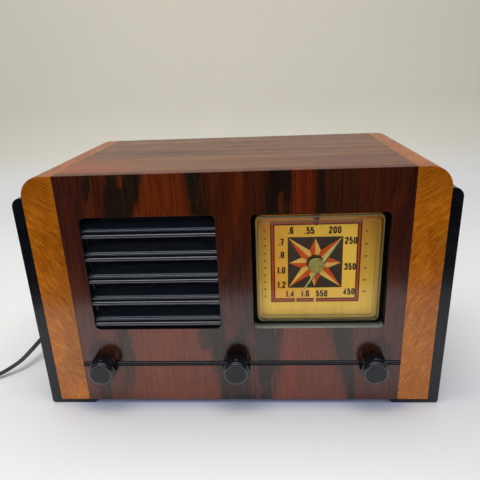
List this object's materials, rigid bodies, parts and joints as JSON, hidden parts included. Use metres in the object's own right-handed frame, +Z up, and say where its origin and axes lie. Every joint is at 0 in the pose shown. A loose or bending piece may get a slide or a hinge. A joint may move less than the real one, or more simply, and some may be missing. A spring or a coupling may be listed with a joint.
{
  "type": "tube radio",
  "caption": "Wooden table tube radio with a louvred grille, a square brass dial with a turning pointer, turning knobs, black side rails and a mains cord.",
  "frame": {"origin": "centre of the footprint, cord left out, on the surface that the feet stand on", "axes": "+X to the right of someone facing the dial, +Y from the front to the back, +Z up"},
  "size_m": [0.579, 0.2818, 0.228],
  "materials": {
    "figured_veneer": "gloss lacquer",
    "light_wood": "satin lacquer",
    "top_veneer": "satin lacquer",
    "plain_wood": "raw",
    "black_lacquer": "gloss",
    "black_moulding": "gloss",
    "grille_fabric": "woven",
    "crystal": "clear",
    "black_paint": "matt",
    "dial_brass": "brushed and printed",
    "pointer_brass": "worn",
    "drum_metal": "stamped",
    "drive_cord": "waxed",
    "chassis_steel": "plated",
    "capacitor_metal": "satin",
    "shaft_steel": "turned",
    "fitting_brass": "dull",
    "control_case": "satin",
    "speaker_frame": "satin",
    "cone_paper": "felted paper",
    "transformer_iron": "laminated",
    "brown_moulding": "moulded",
    "electrode_metal": "blackened",
    "tube_glass": "clear",
    "lamp_glass": "clear",
    "fibre_board": "pressed",
    "antenna_wire": "cotton covered",
    "cord_rubber": "aged"
  },
  "bodies": {
    "cabinet": {"front_panel": "figured_veneer", "left_stripe": "light_wood", "right_stripe": "light_wood", "left_side": "light_wood", "right_side": "light_wood", "top_panel": "top_veneer", "bottom_board": "plain_wood", "left_rail": "black_lacquer", "right_rail": "black_lacquer", "panel_bead": "black_lacquer", "glue_blocks": "plain_wood", "back_cleats": "plain_wood", "louvre_grille": "black_moulding", "grille_cloth": "grille_fabric", "speaker_baffle": "plain_wood", "speaker_basket": "speaker_frame", "speaker_cone": "cone_paper", "speaker_magnet": "speaker_frame", "output_transformer": "transformer_iron", "dial_lens": "crystal", "dial_mask": "black_paint", "dial_plate": "dial_brass", "dial_bracket": "chassis_steel", "dial_cord": "drive_cord", "dial_lamp": "lamp_glass", "lamp_holder": "fitting_brass", "gang_bracket": "chassis_steel", "gang_frame": "capacitor_metal", "gang_stators": "capacitor_metal", "tuning_bushing": "fitting_brass", "volume_control": "control_case", "tone_control": "control_case", "chassis": "chassis_steel", "chassis_bolts": "chassis_steel", "tube_sockets": "brown_moulding", "tube_bases": "brown_moulding", "tube_electrodes": "electrode_metal", "converter_tube": "tube_glass", "amplifier_tube": "tube_glass", "detector_tube": "tube_glass", "output_tube": "tube_glass", "rectifier_tube": "tube_glass", "coil_cans": "capacitor_metal", "filter_capacitor": "capacitor_metal", "rear_cover": "fibre_board", "loop_antenna": "antenna_wire", "cover_screws": "fitting_brass", "strain_relief": "cord_rubber", "power_cord": "cord_rubber", "cord_coil": "cord_rubber", "plug": "cord_rubber"},
    "volume_spindle": {"volume_knob": "black_moulding", "volume_shaft": "shaft_steel"},
    "tone_spindle": {"tone_knob": "black_moulding", "tone_shaft": "shaft_steel"},
    "tuning_spindle": {"tuning_knob": "black_moulding", "tuning_shaft": "shaft_steel"},
    "tuning_gang": {"gang_rotor": "capacitor_metal", "dial_drum": "drum_metal", "dial_pointer": "pointer_brass"}
  },
  "joints": [
    {"name": "volume_turn", "type": "hinge", "parent": "cabinet", "child": "volume_spindle", "pos_m": [-0.1275, -0.0895, 0.0453], "axis": [0, 1, 0], "range_deg": [0, 300]},
    {"name": "tone_turn", "type": "hinge", "parent": "cabinet", "child": "tone_spindle", "pos_m": [-0.002, -0.0895, 0.0453], "axis": [0, 1, 0], "range_deg": [-150, 150]},
    {"name": "dial_turn", "type": "hinge", "parent": "cabinet", "child": "tuning_gang", "pos_m": [0.0713, -0.0675, 0.1407], "axis": [0, 1, 0], "range_deg": [-33, 147]},
    {"name": "tuning_turn", "type": "hinge", "parent": "cabinet", "child": "tuning_spindle", "pos_m": [0.1235, -0.0895, 0.0453], "axis": [0, 1, 0], "range_deg": [-200, 884]}
  ],
  "couplings": [
    {"joint": "tuning_turn", "follows": "dial_turn", "ratio": 6}
  ]
}
